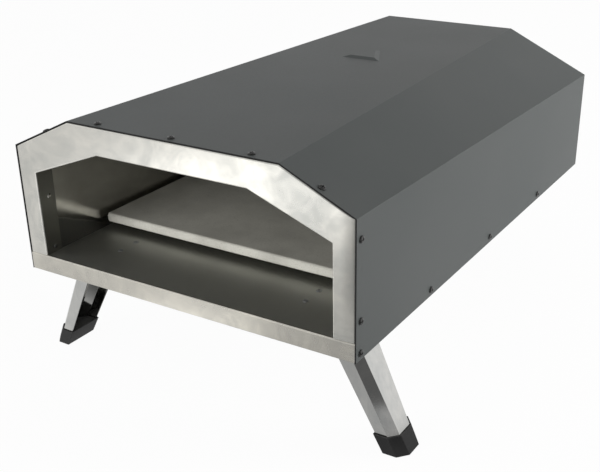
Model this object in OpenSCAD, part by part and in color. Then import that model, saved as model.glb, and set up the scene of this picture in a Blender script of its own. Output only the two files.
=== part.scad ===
// Portable wood fired pizza oven: a double-walled steel tunnel on three folding legs.
// A baking stone lies behind the mouth, and a fire drawer under a lift-up hatch feeds it
// from the rear. The origin is the middle of the oven's own outline, on the ground.
// The mouth faces -Y and +Z is up.

/* [Casing] */
// Width of the casing across its flanks
body_w = 400; // [333:1:480]
// Depth of the casing from the mouth to the rear panel
body_d = 617; // [514:1:741]
// Height of the casing from its lower edge to its flat top
body_h = 175; // [146:1:210]
// Drop of the sloping shoulder from the flat top to the flank, at the mouth
shoulder_drop = 36; // [30:1:43]
// Width of the flat top at the mouth
top_w_front = 247; // [206:1:290]
// Width of the flat top at the rear
top_w_rear = 186; // [155:1:223]
// Thickness of the painted casing sheet
shell_t = 1; // [0.8:0.1:1.2]
// Width of the flange that the casing turns inwards at the rear
rear_flange_w = 12; // [10:0.5:14.5]

/* [Mouth] */
// Width of each steel post beside the mouth
post_w = 24; // [21:0.5:28.5]
// Height of the steel band above the mouth
header_h = 30; // [28:0.5:36]
// Height of the sill under the mouth, which is also the height of the floor
sill_h = 19.5; // [17:0.5:23]
// Distance of the mouth's top corner from the corner of the flat top
mouth_corner_in = 35; // [29:1:42]
// Drop of the mouth's side corner below the top of the flank
mouth_side_drop = 27; // [23:1:32]
// Thickness of the stainless sheet
steel_t = 1; // [0.8:0.1:1.2]
// Depth of the face frame's outer flange, inside the casing
frame_flange_d = 20; // [17:0.5:24]
// Depth of the flange that turns back around the mouth
mouth_return_d = 22; // [18:0.5:26]

/* [Baking chamber] */
// Distance from the face to the baking stone
stone_setback = 88; // [75:1:105]
// Depth of the fire space between the stone and the rear panel
fire_d = 187; // [170:1:224]
// Thickness of the baking stone
stone_t = 11; // [9:0.5:13]
// Radius of the stone's upright corners
stone_corner_r = 4; // [2:0.5:5]
// Side gap between the mouth's edge and the stone
stone_side_gap = 5; // [4:0.5:6]
// Height of the rails that lift the stone off the floor
stone_lift = 8; // [6:0.5:10]
// Height of the flame baffle
baffle_h = 58; // [50:1:70]

/* [Fire drawer and hatch] */
// Width of the fire drawer
drawer_w = 184; // [153:1:221]
// Height of the fire drawer's walls
drawer_h = 42; // [35:1:50]
// Free gap between the floor and the drawer
drawer_lift = 4; // [3.5:0.5:5]
// Width of the hatch opening
hatch_w = 160; // [133:1:192]
// Distance of the hatch opening from the flat top
hatch_top_margin = 45; // [42:1:52]
// Travel of the air shutter, which is also the width of an air slot
shutter_travel = 15; // [12:0.5:18]
// Diameter of the wooden grips
grip_dia = 16; // [14:0.5:19]
// Length of the wooden grips
grip_len = 100; // [84:1:120]

/* [Legs] */
// Height of the casing's lower edge above the ground
ground_gap = 119; // [100:1:142]
// Lean of each leg from upright, in degrees
leg_lean = 26.5; // [22:0.5:32]
// Width of a leg at its pivot
leg_w = 51.5; // [44:0.5:58]
// Width of a leg at its foot
foot_w = 38.5; // [31:0.5:46]
// Depth of a leg's channel at its pivot
leg_depth = 23; // [19:0.5:24]
// Depth of a leg's channel at its foot
foot_depth = 18.5; // [16:0.5:19]
// Thickness of a leg's sheet
leg_t = 1.2; // [1:0.1:1.4]
// Distance of each leg's pivot from the casing's edge
leg_inset = 42; // [36:1:50]
// Distance of the front legs' middle from the face
leg_row_y = 61.5; // [50:0.5:72]
// Height of a foot cap
cap_h = 20; // [17:0.5:24]
// Diameter of the pivot pins
pivot_dia = 6; // [5:0.5:7]

/* [Hidden] */
$fn = 48;

// Gaps
seat_gap = 0.2;      // between sheets that are fastened together
slide_gap = 0.3;     // between a sliding piece and its guide
turn_gap = 0.6;      // beside a leg that turns between its bracket's cheeks
running_gap = 0.06;  // radial, between a pin and what turns on it
hold_gap = 0.02;     // radial, between a pin and what holds it
reach = body_w + body_d + body_h;  // longer than any cut has to be

// Casing: the shoulder is one flat plane from the mouth to the rear
shoulder_slope = shoulder_drop / ((body_w - top_w_front) / 2);
top_taper = (top_w_front - top_w_rear) / 2 / body_d;
shoulder_tilt = atan(norm([shoulder_slope, shoulder_slope * top_taper]));
shoulder_yaw = atan(top_taper);
shoulder_rise = norm([shoulder_slope, shoulder_slope * top_taper, 1]);
flank_h = body_h - shoulder_drop;

// Mouth
mouth_x = body_w / 2 - post_w;
mouth_top_x = top_w_front / 2 - mouth_corner_in;
mouth_top_z = body_h - header_h;
mouth_side_z = flank_h - mouth_side_drop;
mouth_slope = (mouth_top_z - mouth_side_z) / (mouth_x - mouth_top_x);
frame_inset = shell_t + seat_gap;
frame_z = sill_h + seat_gap;

// Screws and rivets
screw_r = 2;
screw_hole_r = 2.1;
screw_head = [3.5, 1.9];                  // radius and height of a pan head
low_head = [2.9, 1.2];                    // of the screws on the floor, which ash is swept over
screw_len = 8;
recess_w = 0.9;
recess_share = 0.6;                       // of the recess in the head's radius and height
rivet_r = 1.6;
rivet_hole_r = 1.7;
rivet_head_r = 2.5;
rivet_head_h = 0.9;
screw_row_y = 8.5;                        // row behind the face
top_screw_x = top_w_front / 2 - 33.5;
flank_screw_z = [flank_h - 21, sill_h + 20];
skirt_screw_z = 7;
skirt_screw_y = [screw_row_y, body_d / 4, body_d / 2, body_d * 3 / 4];

// Floor, liner and blanket
tray_x = body_w / 2 - shell_t - seat_gap;
tray_back = body_d - shell_t - seat_gap;
lip_w = 12;                               // turned-in lower lips of the tray
liner_inset = post_w - steel_t - 0.1;     // inner face of the liner, from the casing's skin
liner_x = body_w / 2 - liner_inset;
liner_z = sill_h + seat_gap;
liner_foot_w = 11;
liner_end = body_d - 2.5;                 // leaves room to expand towards the rear panel
blanket_end = body_d - 12;
liner_rivet_y = 14;
liner_rivet_z = [sill_h + 6, mouth_side_z - 29];

// Stone
stone_w = 2 * (mouth_x - stone_side_gap);
stone_d = body_d - stone_setback - fire_d;
stone_z = sill_h + stone_lift + seat_gap;
rail_x = stone_w / 2 - 60;
rail_top_w = 16;
rail_foot_w = 9;
rail_y = [stone_setback + 24, stone_setback + stone_d + slide_gap];
baffle_y = stone_setback + stone_d + 12;
baffle_x = liner_x - 1;
baffle_foot = 14;
baffle_screw_x = baffle_x - 55;

// Rear panel, fire drawer and hatch
panel_t = 1;
panel_inset = 3;
panel_face = body_d + panel_t;
door_y = panel_face + slide_gap;          // inner face of the drawer front and the hatch
door_face = door_y + steel_t;
overlap = 8;                              // of the hatch and drawer front over their openings
drawer_d = fire_d - 47;
drawer_z = sill_h + drawer_lift;
drawer_gap = 2;
drawer_open_z = [drawer_z - drawer_gap, drawer_z + drawer_h + drawer_gap];
drawer_front_z = [drawer_open_z[0] - overlap, drawer_open_z[1] + overlap - 2];
hatch_open_z = [drawer_front_z[1] + 4 + overlap, body_h - hatch_top_margin];
hatch_front_z = [hatch_open_z[0] - overlap, hatch_open_z[1] + overlap];
guide_w = 10;
guide_fence_h = 16;
guide_foot_w = 12;
grate_rod_r = 2;
grate_bar_r = 2.5;
grate_pitch = 15;
grate_z = drawer_z + 13;
slot_count = 5;
slot_h = 7;
slot_pitch = 2 * shutter_travel;
slot_z = drawer_open_z[0] + 3;            // lower edge of the air slots
shutter_margin = 3.2;                     // of the shutter above and below the slots
shutter_lap = 2.6;                        // of the guide's lip over the shutter
shutter_x = slot_pitch * (slot_count - 1) / 2 + slot_pitch / 2 + 2;
shutter_knob_x = -(shutter_x - 8);
knob_neck_r = 2.6;
knob_r = 5.5;
knob_len = 9;
post_r = 3.5;
post_foot_r = 6.5;
post_foot_t = 1.5;
grip_stand = 14 + grip_dia / 2;           // from the door's face to the grip's middle
grip_post_x = grip_len / 2 - 14;
grip_end_r = grip_dia / 2 - 1.5;
drawer_grip_z = drawer_front_z[1] - 4 - grip_dia / 2;
hatch_grip_z = (hatch_open_z[0] + hatch_open_z[1]) / 2;

// Hatch hinge
knuckle_r = 3.5;
hinge_pin_r = 1.75;
hinge_y = panel_face + knuckle_r + 0.5;
hinge_z = hatch_front_z[1] + 4;
hinge_leaf_z = [hinge_z + 4, hinge_z + 15];
hinge_mid = 20;                           // half length of the fixed knuckle
hinge_end = 60;                           // half length of the whole hinge
knuckle_gap = 1;
hinge_rivet_x = [-45, 0, 45];

// Rear panel screws
panel_screw_in = rear_flange_w - 5;
rear_flank_h = body_h - shoulder_slope * (body_w - top_w_rear) / 2;
panel_screw_z = [30, rear_flank_h - 25];
panel_shoulder_x = (top_w_rear + body_w) / 4 - 3;

// Legs: each is drawn on its pivot, and leans towards its local +X
bracket_t = 1.5;
pivot_x = body_w / 2 - leg_inset;
rear_pivot_y = body_d - leg_inset;
web_z = sill_h - steel_t - bracket_t;     // underside of a bracket's web
pivot_z = web_z - turn_gap - leg_depth / 2;
leg_len = (ground_gap + pivot_z) / cos(leg_lean);
bevel_u = 7.5;                            // bevels along the leg's outer corners
bevel_v = 9.5;
cap_t = 1.6;
cap_floor = 4;
cap_fit = 0.1;
cheek_y = leg_w / 2 + turn_gap;           // inner face of a bracket's cheek
cheek_drop = 4;                           // of the cheek below the pivot
cheek_r = 7;                              // of the cheek around the pivot
bracket_in = 62;                          // reach of the bracket towards the oven's middle
bracket_out = 10;
bracket_screw_in = 41;
bracket_screw_y = 12.5;
nut_r = 4;
nut_h = 3.2;
pin_head_r = 4.6;
pin_head_t = 2;

// Outline of the whole oven, front to back
foot_reach = (foot_depth / 2 + cap_t) / cos(leg_lean) + (ground_gap + pivot_z) * tan(leg_lean);
back_y = max(rear_pivot_y + foot_reach, door_face + grip_stand + grip_dia / 2);

// Plain triangle on the flat top
relief_w = 50;
relief_d = 50;
relief_h = 2.2;
relief_slope = 22;

steel = "gainsboro";
paint = "dimgray";

// Half width of the flat top at a depth y
function top_x(y) = top_w_front / 2 - top_taper * y;

// Height of the shoulder, sunk by inset, at a place x, y
function shoulder_z(x, y, inset) =
    body_h - shoulder_slope * (x - top_x(y)) - inset * shoulder_rise;

// Outline of the mouth, grown by d, from a lower edge z
function mouth_outline(d, z) =
    let (long = norm([1, mouth_slope]),
         side = mouth_side_z + d * (long - mouth_slope),
         top = mouth_top_x + d * (long - 1) / mouth_slope)
    [[-mouth_x - d, z], [mouth_x + d, z], [mouth_x + d, side],
     [top, mouth_top_z + d], [-top, mouth_top_z + d], [-mouth_x - d, side]];

// Bevel along one axis after its faces are grown by d
function grown_bevel(bevel, other, d) = bevel + d * (1 - (norm([bevel, other]) - bevel) / other);

// Outline of a leg's section with bevelled outer corners, grown by d, from an inner edge
function leg_outline(depth, width, d, inner) =
    let (u = depth / 2 + d, v = width / 2 + d,
         bu = grown_bevel(bevel_u, bevel_v, d), bv = grown_bevel(bevel_v, bevel_u, d))
    [[inner, -v], [u - bu, -v], [u, -v + bv], [u, v - bv], [u - bu, v], [inner, v]];

// Everything is drawn from the casing's front lower edge and then set on its feet
module placed() {
    translate([0, -back_y / 2, ground_gap]) children();
}

module both_sides() {
    for (side = [0, 1]) mirror([side, 0, 0]) children();
}

// A block with corners lo and hi
module block(lo, hi) {
    translate(lo) cube(hi - lo);
}

// Extrudes an outline that is drawn in x and z, from y0 to y1
module along_y(y0, y1) {
    translate([0, y1, 0]) rotate([90, 0, 0]) linear_extrude(y1 - y0) children();
}

// The casing's tunnel shape, every face sunk by inset
module tunnel(inset, y0, y1, z0) {
    difference() {
        block([-body_w / 2 + inset, y0, z0], [body_w / 2 - inset, y1, body_h - inset]);
        both_sides() {
            translate([top_x(0), 0, body_h]) rotate([0, shoulder_tilt, shoulder_yaw])
                translate([-reach, -reach, -inset]) cube([2 * reach, 2 * reach, reach]);
        }
    }
}

module rounded_plate(w, d, t, r) {
    block([-w / 2 + r, 0, 0], [w / 2 - r, d, t]);
    block([-w / 2, r, 0], [w / 2, d - r, t]);
    for (x = [-w / 2 + r, w / 2 - r], y = [r, d - r]) translate([x, y, 0]) cylinder(t, r = r);
}

// Places of the fasteners, with local +Z pointing out of the sheet
module at_top_screws() {
    for (side = [-1, 0, 1]) translate([side * top_screw_x, screw_row_y, body_h]) children();
}

module at_shoulder_screws() {
    x = (top_x(screw_row_y) + body_w / 2) / 2;
    both_sides() {
        translate([x, screw_row_y, shoulder_z(x, screw_row_y, 0)])
            rotate([0, shoulder_tilt, shoulder_yaw]) children();
    }
}

module at_flank_screws() {
    both_sides() {
        for (z = flank_screw_z) {
            translate([body_w / 2, screw_row_y, z]) rotate([0, 90, 0]) children();
        }
    }
}

module at_skirt_screws() {
    both_sides() {
        for (y = skirt_screw_y) {
            translate([body_w / 2, y, skirt_screw_z]) rotate([0, 90, 0]) children();
        }
    }
}

module at_rear_screws() {
    both_sides() {
        for (z = panel_screw_z) {
            translate([body_w / 2 - panel_screw_in, panel_face, z]) rotate([-90, 0, 0]) children();
        }
        translate([panel_shoulder_x, panel_face,
                   shoulder_z(panel_shoulder_x, body_d, panel_screw_in)])
            rotate([-90, 0, 0]) children();
        translate([top_w_rear / 3, panel_face, body_h - panel_screw_in])
            rotate([-90, 0, 0]) children();
    }
}

module at_hinge_rivets() {
    for (x = hinge_rivet_x) {
        translate([x, panel_face + steel_t, (hinge_leaf_z[0] + hinge_leaf_z[1]) / 2])
            rotate([-90, 0, 0]) children();
    }
}

module at_liner_rivets() {
    both_sides() {
        for (z = liner_rivet_z) {
            translate([mouth_x, liner_rivet_y, z]) rotate([0, -90, 0]) children();
        }
    }
}

module at_floor_rivets() {
    both_sides() {
        for (y = [rail_y[0] + 20, rail_y[1] - 20]) {
            translate([rail_x + rail_top_w / 2 + rail_foot_w / 2, y, sill_h + steel_t]) children();
        }
        translate([baffle_screw_x, baffle_y + baffle_foot / 2, sill_h + steel_t]) children();
        for (y = [body_d - drawer_d + 20, body_d - 30]) {
            translate([drawer_w / 2 + guide_foot_w / 2 + 2, y, sill_h + steel_t]) children();
        }
    }
}

// The three leg places: local origin on the pivot, local +X pointing outwards
module at_right_leg() {
    translate([pivot_x, leg_row_y, pivot_z]) children();
}

module at_left_leg() {
    mirror([1, 0, 0]) at_right_leg() children();
}

module at_rear_leg() {
    translate([0, rear_pivot_y, pivot_z]) rotate([0, 0, 90]) children();
}

// Bracket screws of one leg, on the floor's upper face
module at_bracket_screws() {
    for (side = [-1, 1]) {
        translate([-bracket_screw_in, side * bracket_screw_y, sill_h - pivot_z]) children();
    }
}

module at_all_bracket_screws() {
    at_left_leg() at_bracket_screws() children();
    at_right_leg() at_bracket_screws() children();
    at_rear_leg() at_bracket_screws() children();
}

// Pan head screw with a cross recess, seated at z = 0
module screw(len = screw_len, head = screw_head) {
    r = head[0];
    h = head[1];
    difference() {
        rotate_extrude() {
            polygon([[0, 0], [r, 0], [r, h * 0.4], [r * 0.93, h * 0.65], [r * 0.78, h * 0.85],
                     [r * 0.5, h], [0, h]]);
        }
        for (turn = [0, 90]) {
            rotate([0, 0, turn])
                translate([-r * recess_share, -recess_w / 2, h * (1 - recess_share)])
                    cube([2 * r * recess_share, recess_w, h]);
        }
    }
    translate([0, 0, -len]) cylinder(len, r = screw_r);
}

module screw_hole(depth = screw_len) {
    translate([0, 0, -depth]) cylinder(depth + 2, r = screw_hole_r);
}

// Dome head rivet through two sheets, with its tail upset on the far side
module rivet(grip) {
    rotate_extrude() {
        polygon([[0, 0], [rivet_head_r, 0], [rivet_head_r * 0.8, rivet_head_h * 0.7],
                 [rivet_head_r * 0.4, rivet_head_h], [0, rivet_head_h]]);
    }
    translate([0, 0, -grip]) cylinder(grip, r = rivet_r);
    translate([0, 0, -grip - rivet_head_h]) cylinder(rivet_head_h, r = rivet_head_r * 0.9);
}

module rivet_hole() {
    translate([0, 0, -5]) cylinder(6, r = rivet_hole_r);
}

// Folded casing: flat top, two shoulders, two flanks and a turned-in flange at the rear
module outer_shell() {
    color(paint) placed() {
        difference() {
            tunnel(0, 0, body_d, 0);
            tunnel(shell_t, -1, body_d - shell_t, -1);
            tunnel(rear_flange_w, body_d / 2, body_d + 1, -1);
            at_top_screws() screw_hole();
            at_shoulder_screws() screw_hole();
            at_flank_screws() screw_hole();
            at_skirt_screws() screw_hole();
            at_rear_screws() screw_hole();
        }
        pressed_triangle();
    }
}

// Plain triangle that stands up from the flat top towards the rear, with sloping sides
module pressed_triangle() {
    translate([0, body_d * 0.59, body_h]) {
        difference() {
            linear_extrude(relief_h) {
                polygon([[-relief_w / 2, 0], [relief_w / 2, 0], [0, relief_d]]);
            }
            relief_side([0, 0], 0);
            both_sides() relief_side([relief_w / 2, 0], 90 + atan(relief_w / 2 / relief_d));
        }
    }
}

// Cuts one side of the triangle to its slope, along a line through p
module relief_side(p, turn) {
    translate(p) rotate([0, 0, turn]) rotate([relief_slope, 0, 0])
        translate([-relief_w * 2, -relief_w, 0]) cube([relief_w * 4, relief_w * 2, relief_w]);
}

// Stainless arch around the mouth: face, flange inside the casing and flange around the mouth
module face_frame() {
    color(steel) placed() {
        difference() {
            union() {
                tunnel(frame_inset, 0, steel_t, frame_z);
                difference() {
                    tunnel(frame_inset, 0, frame_flange_d, frame_z);
                    tunnel(frame_inset + steel_t, -1, frame_flange_d + 1, frame_z - 1);
                }
                along_y(0, mouth_return_d) polygon(mouth_outline(steel_t, frame_z));
            }
            along_y(-1, mouth_return_d + 1) polygon(mouth_outline(0, 0));
            at_top_screws() screw_hole();
            at_shoulder_screws() screw_hole();
            at_flank_screws() screw_hole();
            at_liner_rivets() rivet_hole();
        }
    }
}

// Stainless floor with the sill in front, a skirt on each side and turned-in lower lips
module base_tray() {
    color(steel) placed() {
        difference() {
            block([-tray_x, 0, 0], [tray_x, tray_back, sill_h]);
            block([-tray_x + steel_t, steel_t, steel_t],
                  [tray_x - steel_t, tray_back - steel_t, sill_h - steel_t]);
            block([-tray_x + lip_w, lip_w, -1], [tray_x - lip_w, tray_back - lip_w, steel_t + 1]);
            at_skirt_screws() screw_hole();
            at_floor_rivets() rivet_hole();
            at_all_bracket_screws() screw_hole();
        }
    }
}

// Stainless tunnel inside the blanket, with a foot along each side
module inner_liner() {
    color(steel) placed() {
        difference() {
            union() {
                tunnel(liner_inset - steel_t, steel_t + slide_gap, liner_end, liner_z);
                both_sides() {
                    block([liner_x, frame_flange_d + 1, liner_z],
                          [liner_x + liner_foot_w, blanket_end, liner_z + steel_t]);
                }
            }
            tunnel(liner_inset, 0, body_d, liner_z - 1);
            at_liner_rivets() rivet_hole();
        }
    }
}

// Ceramic fibre blanket between the casing and the liner
module insulation_blanket() {
    color("ivory") placed() {
        difference() {
            tunnel(frame_inset, frame_flange_d + 1, blanket_end, liner_z + steel_t + seat_gap);
            tunnel(liner_inset - steel_t - seat_gap, 0, body_d, 0);
        }
    }
}

// Rear panel with the openings for the hatch and the fire drawer
module rear_panel() {
    color(paint) placed() {
        difference() {
            tunnel(panel_inset, body_d, panel_face, panel_inset);
            block([-hatch_w / 2, body_d - 1, hatch_open_z[0]],
                  [hatch_w / 2, panel_face + 1, hatch_open_z[1]]);
            block([-drawer_w / 2 - drawer_gap, body_d - 1, drawer_open_z[0]],
                  [drawer_w / 2 + drawer_gap, panel_face + 1, drawer_open_z[1]]);
            at_rear_screws() screw_hole();
            at_hinge_rivets() rivet_hole();
        }
    }
}

// Cordierite baking stone
module baking_stone() {
    color("tan") placed() {
        translate([0, stone_setback, stone_z]) {
            rounded_plate(stone_w, stone_d, stone_t, stone_corner_r);
        }
    }
}

// Two hat-section rails under the stone, each with a turned-up stop behind it
module stone_rails() {
    color(steel) placed() {
        both_sides() {
            translate([rail_x, 0, 0]) {
                difference() {
                    union() {
                        block([-rail_top_w / 2, rail_y[0], sill_h],
                              [rail_top_w / 2, rail_y[1], sill_h + stone_lift]);
                        block([-rail_top_w / 2 - rail_foot_w, rail_y[0], sill_h],
                              [rail_top_w / 2 + rail_foot_w, rail_y[1], sill_h + steel_t]);
                        block([-rail_top_w / 2, rail_y[1], sill_h],
                              [rail_top_w / 2, rail_y[1] + steel_t, stone_z + stone_t * 0.7]);
                    }
                    block([-rail_top_w / 2 + steel_t, rail_y[0] - 1, sill_h - 1],
                          [rail_top_w / 2 - steel_t, rail_y[1], sill_h + stone_lift - steel_t]);
                    translate([-rail_x, 0, 0]) at_floor_rivets() rivet_hole();
                }
            }
        }
    }
}

// Upright sheet that keeps ash off the stone, with two rows of flame holes and a rolled-back top
module flame_baffle() {
    hole_pitch = 24;
    hole_r = 4;
    hole_z = [24, 42];
    curl = 10;                            // width of the rolled-back top
    hole_count = floor((baffle_x - hole_pitch + hole_r) / hole_pitch);
    color(steel) placed() {
        difference() {
            union() {
                block([-baffle_x, baffle_y, sill_h], [baffle_x, baffle_y + steel_t, sill_h + baffle_h]);
                block([-baffle_x, baffle_y, sill_h],
                      [baffle_x, baffle_y + baffle_foot, sill_h + steel_t]);
                block([-baffle_x, baffle_y, sill_h + baffle_h - steel_t],
                      [baffle_x, baffle_y + curl, sill_h + baffle_h]);
            }
            for (i = [-hole_count : hole_count], z = hole_z) {
                translate([i * hole_pitch, baffle_y - 1, sill_h + z])
                    rotate([-90, 0, 0]) cylinder(steel_t + 2, r = hole_r);
            }
            at_floor_rivets() rivet_hole();
        }
    }
}

// Ledge and fence on each side that the fire drawer runs on
module drawer_guides() {
    inner = drawer_w / 2 - guide_w + slide_gap;
    fence = drawer_w / 2 + slide_gap;
    y0 = body_d - drawer_d + 4;
    y1 = body_d - 4;
    color(steel) placed() {
        both_sides() {
            difference() {
                union() {
                    block([inner, y0, sill_h], [fence, y1, drawer_z - slide_gap]);
                    block([fence, y0, sill_h], [fence + steel_t, y1, sill_h + guide_fence_h]);
                    block([fence, y0, sill_h], [fence + guide_foot_w, y1, sill_h + steel_t]);
                }
                block([inner + steel_t, y0 - 1, sill_h + steel_t],
                      [fence - steel_t / 2, y1 + 1, drawer_z - slide_gap - steel_t]);
                at_floor_rivets() rivet_hole();
            }
        }
    }
}

// Air slots of the drawer front, or of the shutter when they are cut in it
module air_slots(y0, y1) {
    first = -slot_pitch * (slot_count - 1) / 2;
    for (i = [0 : slot_count - 1]) {
        block([first + i * slot_pitch - shutter_travel / 2, y0, slot_z],
              [first + i * slot_pitch + shutter_travel / 2, y1, slot_z + slot_h]);
    }
}

// Fire drawer: an open tray with ledges for the grate, its front plate and the shutter's guides
module fire_drawer() {
    x = drawer_w / 2;
    y0 = body_d - drawer_d;
    top = drawer_z + drawer_h;
    ledge_w = 7;
    guide_x = shutter_x + shutter_travel + 2;
    low = slot_z - shutter_margin - slide_gap;
    high = slot_z + slot_h + shutter_margin + slide_gap;
    lip_y = door_face + steel_t + 2 * slide_gap;
    color(steel) placed() {
        difference() {
            union() {
                difference() {
                    block([-x, y0, drawer_z], [x, door_y, top]);
                    block([-x + steel_t, y0 + steel_t, drawer_z + steel_t],
                          [x - steel_t, door_y + 1, top + 1]);
                }
                block([-x - overlap, door_y, drawer_front_z[0]],
                      [x + overlap, door_face, drawer_front_z[1]]);
                both_sides() {
                    block([x - ledge_w, y0 + steel_t, grate_z - steel_t],
                          [x - steel_t / 2, door_y, grate_z]);
                }
                // Upper and lower shutter guide, each a spacer with a lip over the shutter
                block([-guide_x, door_face, high], [guide_x, lip_y + steel_t, high + 2]);
                block([-guide_x, lip_y, high - shutter_lap], [guide_x, lip_y + steel_t, high + 2]);
                block([-guide_x, door_face, low - 2], [guide_x, lip_y + steel_t, low]);
                block([-guide_x, lip_y, low - 2], [guide_x, lip_y + steel_t, low + shutter_lap]);
            }
            air_slots(door_y - 1, door_face + 1);
        }
    }
}

// Welded grate: rods from front to back on two cross bars
module fire_grate() {
    half = drawer_w / 2 - steel_t - seat_gap;
    y0 = body_d - drawer_d + steel_t + 4;
    y1 = body_d - 8;
    count = floor((half - grate_rod_r - 2) / grate_pitch);
    bar_z = grate_z + grate_bar_r + seat_gap / 2;
    color("slategray") placed() {
        for (y = [y0 + 20, y1 - 20]) {
            translate([-half, y, bar_z]) rotate([0, 90, 0]) cylinder(2 * half, r = grate_bar_r);
        }
        for (i = [-count : count]) {
            translate([i * grate_pitch, y0, bar_z + grate_bar_r + grate_rod_r * 0.8])
                rotate([-90, 0, 0]) cylinder(y1 - y0, r = grate_rod_r);
        }
    }
}

// Two steel posts that carry a wooden grip at a height z
module grip_posts(z) {
    for (x = [-grip_post_x, grip_post_x]) {
        translate([x, door_face, z]) rotate([-90, 0, 0]) {
            cylinder(grip_stand, r = post_r);
            cylinder(post_foot_t, r = post_foot_r);
        }
    }
}

// Turned wooden grip with a blind hole for each post
module wooden_grip(z) {
    steps = 8;
    barrel = [for (i = [0 : steps]) let (t = i / steps * 2 - 1)
        [grip_end_r + (grip_dia / 2 - grip_end_r) * (1 - t * t), t * (grip_len / 2 - 1.5)]];
    difference() {
        translate([0, door_face + grip_stand, z]) rotate([0, 90, 0]) {
            rotate_extrude() {
                polygon(concat([[0, -grip_len / 2], [grip_end_r - 1.5, -grip_len / 2]], barrel,
                               [[grip_end_r - 1.5, grip_len / 2], [0, grip_len / 2]]));
            }
        }
        for (x = [-grip_post_x, grip_post_x]) {
            translate([x, door_face, z]) rotate([-90, 0, 0])
                cylinder(grip_stand + seat_gap, r = post_r + hold_gap);
        }
    }
}

module drawer_posts() {
    color(steel) placed() grip_posts(drawer_grip_z);
}

module drawer_grip() {
    color("peru") placed() wooden_grip(drawer_grip_z);
}

// Slotted plate that slides across the air slots
module air_shutter() {
    color(steel) placed() {
        difference() {
            block([-shutter_x, door_face + slide_gap, slot_z - shutter_margin],
                  [shutter_x, door_face + slide_gap + steel_t, slot_z + slot_h + shutter_margin]);
            air_slots(door_face, door_face + 3);
            translate([shutter_knob_x, door_face, slot_z + slot_h / 2]) rotate([-90, 0, 0])
                cylinder(5, r = 1.5 + hold_gap);
        }
    }
}

// Knob of the air shutter, with its stud through the plate
module shutter_knob() {
    y = door_face + slide_gap;
    color("dimgray") placed() {
        translate([shutter_knob_x, y, slot_z + slot_h / 2]) rotate([-90, 0, 0]) {
            cylinder(steel_t + 1, r = 1.5);
            translate([0, 0, steel_t]) cylinder(5, r = knob_neck_r);
            translate([0, 0, steel_t + 3]) cylinder(knob_len - 1, r = knob_r);
            translate([0, 0, steel_t + 2 + knob_len]) cylinder(1, r1 = knob_r, r2 = knob_r - 1);
        }
    }
}

// Lift-up hatch with a stiffening rim behind it and two knuckles above
module fuel_hatch() {
    x = hatch_w / 2 + overlap;
    rim = 3;
    color(paint) placed() {
        difference() {
            union() {
                block([-x, door_y, hatch_front_z[0]], [x, door_face, hatch_front_z[1]]);
                difference() {
                    block([-hatch_w / 2 + rim, body_d - 9, hatch_open_z[0] + rim],
                          [hatch_w / 2 - rim, door_face, hatch_open_z[1] - rim - 4]);
                    block([-hatch_w / 2 + rim + steel_t, body_d - 10, hatch_open_z[0] + rim + steel_t],
                          [hatch_w / 2 - rim - steel_t, door_y, hatch_open_z[1] - rim - 4 - steel_t]);
                }
                both_sides() {
                    block([hinge_mid + knuckle_gap, door_y, hatch_front_z[1] - 1],
                          [hinge_end, door_face, hinge_z]);
                    translate([hinge_mid + knuckle_gap, hinge_y, hinge_z]) rotate([0, 90, 0])
                        cylinder(hinge_end - hinge_mid - knuckle_gap, r = knuckle_r);
                }
            }
            translate([-hinge_end - 1, hinge_y, hinge_z]) rotate([0, 90, 0])
                cylinder(2 * hinge_end + 2, r = hinge_pin_r + running_gap);
        }
    }
}

// Fixed leaf of the hatch hinge, with the middle knuckle
module hatch_leaf() {
    color(steel) placed() {
        difference() {
            union() {
                block([-hinge_end, panel_face, hinge_leaf_z[0]],
                      [hinge_end, panel_face + steel_t, hinge_leaf_z[1]]);
                block([-hinge_mid, panel_face, hinge_z],
                      [hinge_mid, panel_face + steel_t, hinge_leaf_z[0] + 1]);
                translate([-hinge_mid, hinge_y, hinge_z]) rotate([0, 90, 0])
                    cylinder(2 * hinge_mid, r = knuckle_r);
            }
            translate([-hinge_mid - 1, hinge_y, hinge_z]) rotate([0, 90, 0])
                cylinder(2 * hinge_mid + 2, r = hinge_pin_r + hold_gap);
            at_hinge_rivets() rivet_hole();
        }
    }
}

module hatch_pin() {
    head = 1.5;
    color(steel) placed() {
        translate([0, hinge_y, hinge_z]) rotate([0, 90, 0]) {
            translate([0, 0, -hinge_end - slide_gap])
                cylinder(2 * (hinge_end + slide_gap), r = hinge_pin_r);
            for (z = [-hinge_end - slide_gap - head, hinge_end + slide_gap]) {
                translate([0, 0, z]) cylinder(head, r = hinge_pin_r + 1);
            }
        }
    }
}

module hatch_posts() {
    color(steel) placed() grip_posts(hatch_grip_z);
}

module hatch_grip() {
    color("peru") placed() wooden_grip(hatch_grip_z);
}

// A prism from an outline at z = 0 down to another one with as many points at -length
module prism_between(top, foot, length) {
    n = len(top);
    polyhedron(
        concat([for (p = foot) [p.x, p.y, -length]], [for (p = top) [p.x, p.y, 0]]),
        concat([[for (i = [0 : n - 1]) i]], [[for (i = [n - 1 : -1 : 0]) n + i]],
               [for (i = [0 : n - 1]) [i, n + i, n + (i + 1) % n, (i + 1) % n]]));
}

// A leg's tapered outline in its own slant, grown by d; the cavity runs out of the inner side
module leg_prism(d, cavity = false) {
    past = 1.2;  // the prism runs on below the ground, and is cut level later
    foot_d = leg_depth + (foot_depth - leg_depth) * past;
    foot_v = leg_w + (foot_w - leg_w) * past;
    top_in = cavity ? -leg_depth : -leg_depth / 2 - d;
    foot_in = cavity ? -leg_depth : -foot_d / 2 - d;
    rotate([0, -leg_lean, 0]) {
        prism_between(leg_outline(leg_depth, leg_w, d, top_in),
                      leg_outline(foot_d, foot_v, d, foot_in), leg_len * past);
    }
}

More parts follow.
